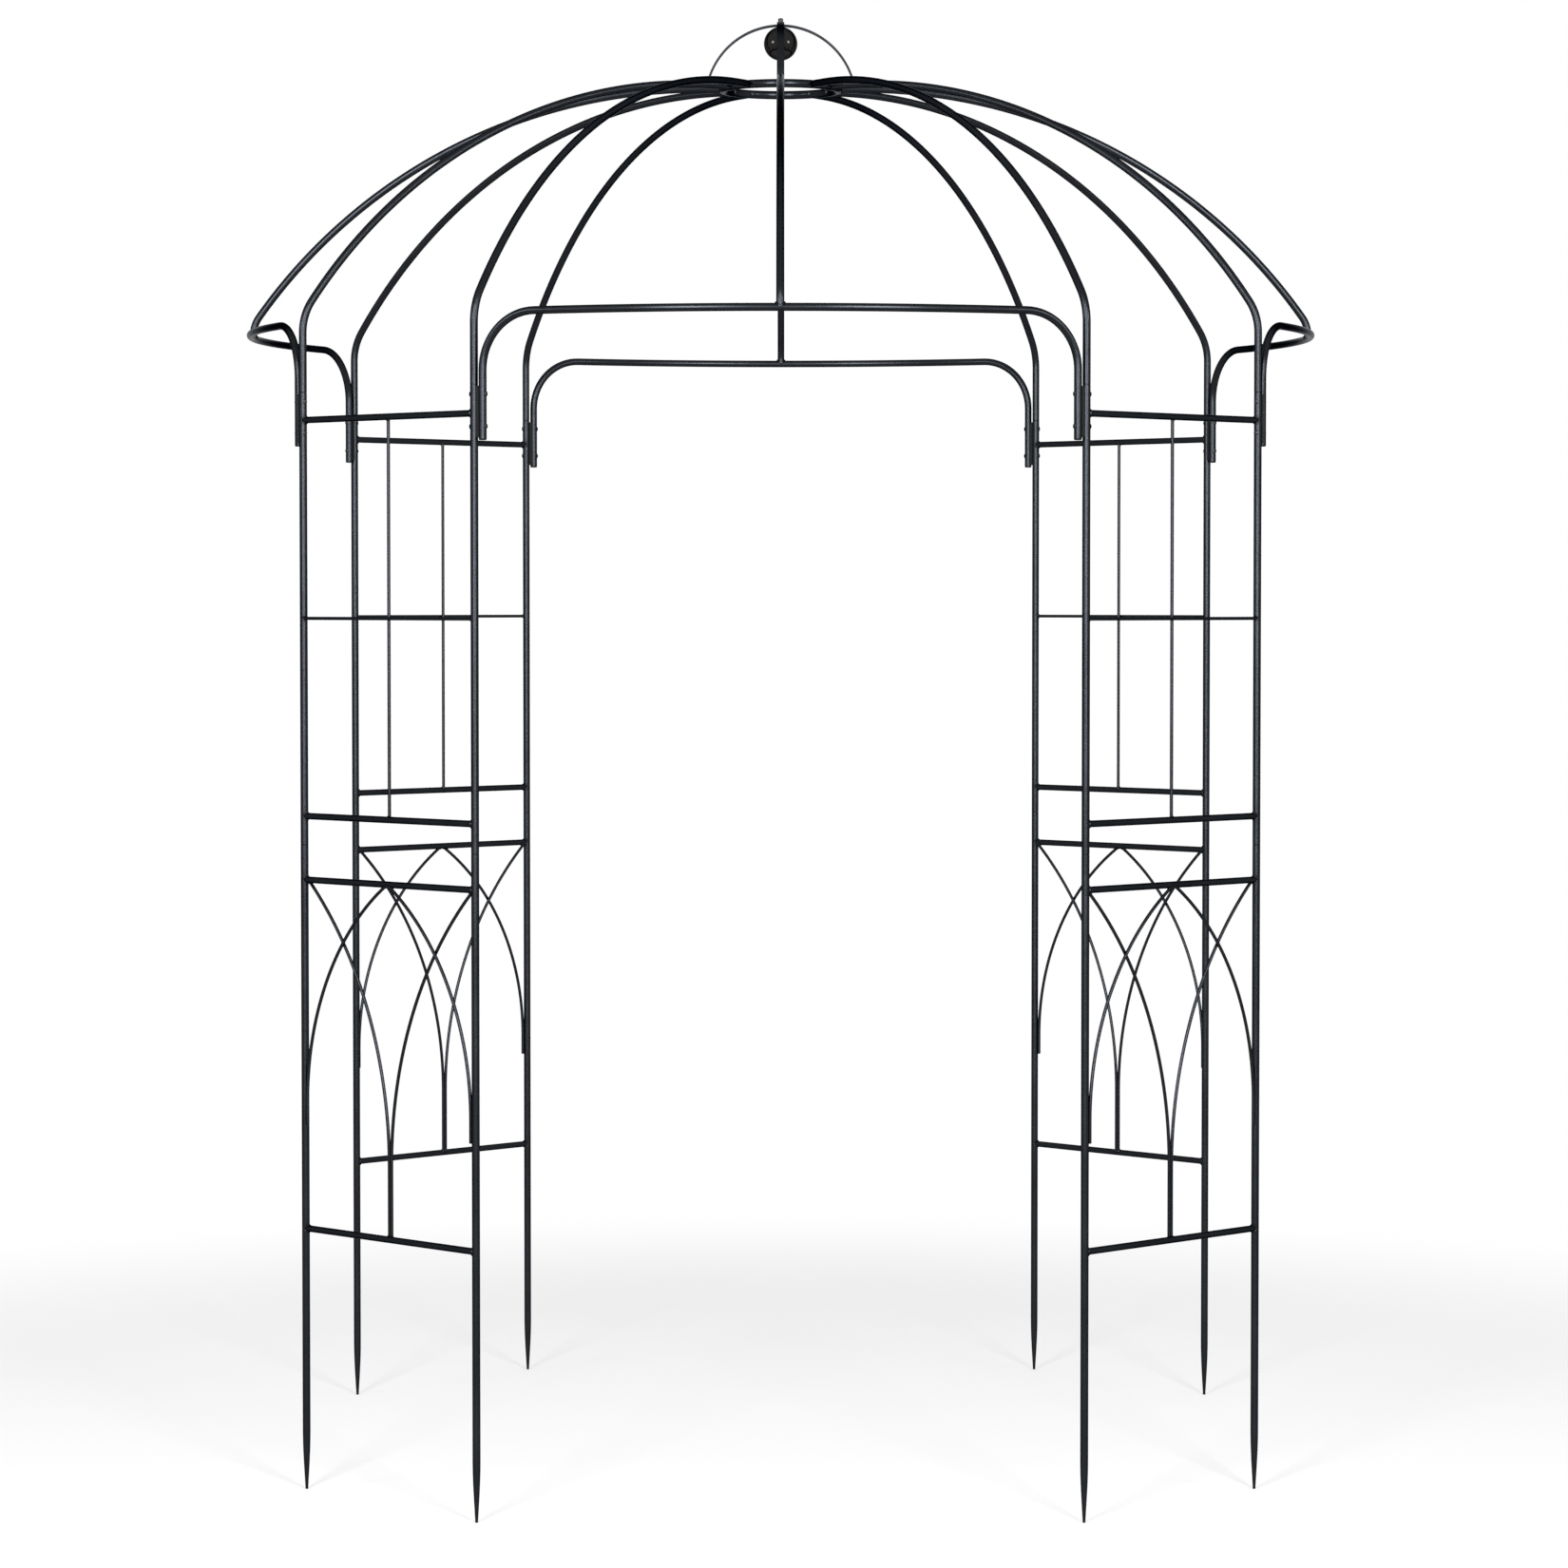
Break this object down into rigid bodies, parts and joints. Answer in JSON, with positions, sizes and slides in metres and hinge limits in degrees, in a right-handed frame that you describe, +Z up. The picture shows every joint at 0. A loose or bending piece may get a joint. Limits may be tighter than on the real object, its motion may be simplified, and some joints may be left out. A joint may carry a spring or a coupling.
{
  "type": "garden pavilion",
  "caption": "Round garden pavilion of black steel tube with spiked posts, wire trellis panels, bowed headers over open sides and a ribbed dome with a hoop crown and ball.",
  "frame": {"origin": "middle of the post circle, on the level of the spike tips", "axes": "+Z up, -Y towards the front open side, +X towards the right open side"},
  "size_m": [2.024, 2.024, 2.7175],
  "materials": {
    "powder_coat": "black satin powder coat with a fine texture",
    "gloss_ball": "black high gloss",
    "fastener": "blackened zinc plated steel",
    "black_plastic": "matte moulded plastic"
  },
  "bodies": {
    "root": {"arch_wires_back_left": "powder_coat", "arch_wires_back_right": "powder_coat", "arch_wires_front_left": "powder_coat", "arch_wires_front_right": "powder_coat", "crown_hoop_lower": "powder_coat", "crown_hoop_upper": "powder_coat", "crown_ring": "powder_coat", "finial_ball": "gloss_ball", "finial_cap_nut": "fastener", "finial_stud": "fastener", "header_back": "powder_coat", "header_bolts": "fastener", "header_front": "powder_coat", "header_left": "powder_coat", "header_nuts": "fastener", "header_rib_back": "powder_coat", "header_rib_front": "powder_coat", "header_rib_left": "powder_coat", "header_rib_right": "powder_coat", "header_right": "powder_coat", "lattice_wires_back_left": "powder_coat", "lattice_wires_back_right": "powder_coat", "lattice_wires_front_left": "powder_coat", "lattice_wires_front_right": "powder_coat", "leg_plugs": "black_plastic", "lower_post_back_left": "powder_coat", "lower_post_back_right": "powder_coat", "lower_post_front_left": "powder_coat", "lower_post_front_right": "powder_coat", "lower_post_left_back": "powder_coat", "lower_post_left_front": "powder_coat", "lower_post_right_back": "powder_coat", "lower_post_right_front": "powder_coat", "post_rib_back_left": "powder_coat", "post_rib_back_right": "powder_coat", "post_rib_front_left": "powder_coat", "post_rib_front_right": "powder_coat", "post_rib_left_back": "powder_coat", "post_rib_left_front": "powder_coat", "post_rib_right_back": "powder_coat", "post_rib_right_front": "powder_coat", "rails_back_left": "powder_coat", "rails_back_right": "powder_coat", "rails_front_left": "powder_coat", "rails_front_right": "powder_coat", "rib_inserts": "fastener", "ring_screws": "fastener", "spacer_saddles": "black_plastic", "upper_post_back_left": "powder_coat", "upper_post_back_right": "powder_coat", "upper_post_front_left": "powder_coat", "upper_post_front_right": "powder_coat", "upper_post_left_back": "powder_coat", "upper_post_left_front": "powder_coat", "upper_post_right_back": "powder_coat", "upper_post_right_front": "powder_coat"}
  },
  "joints": []
}
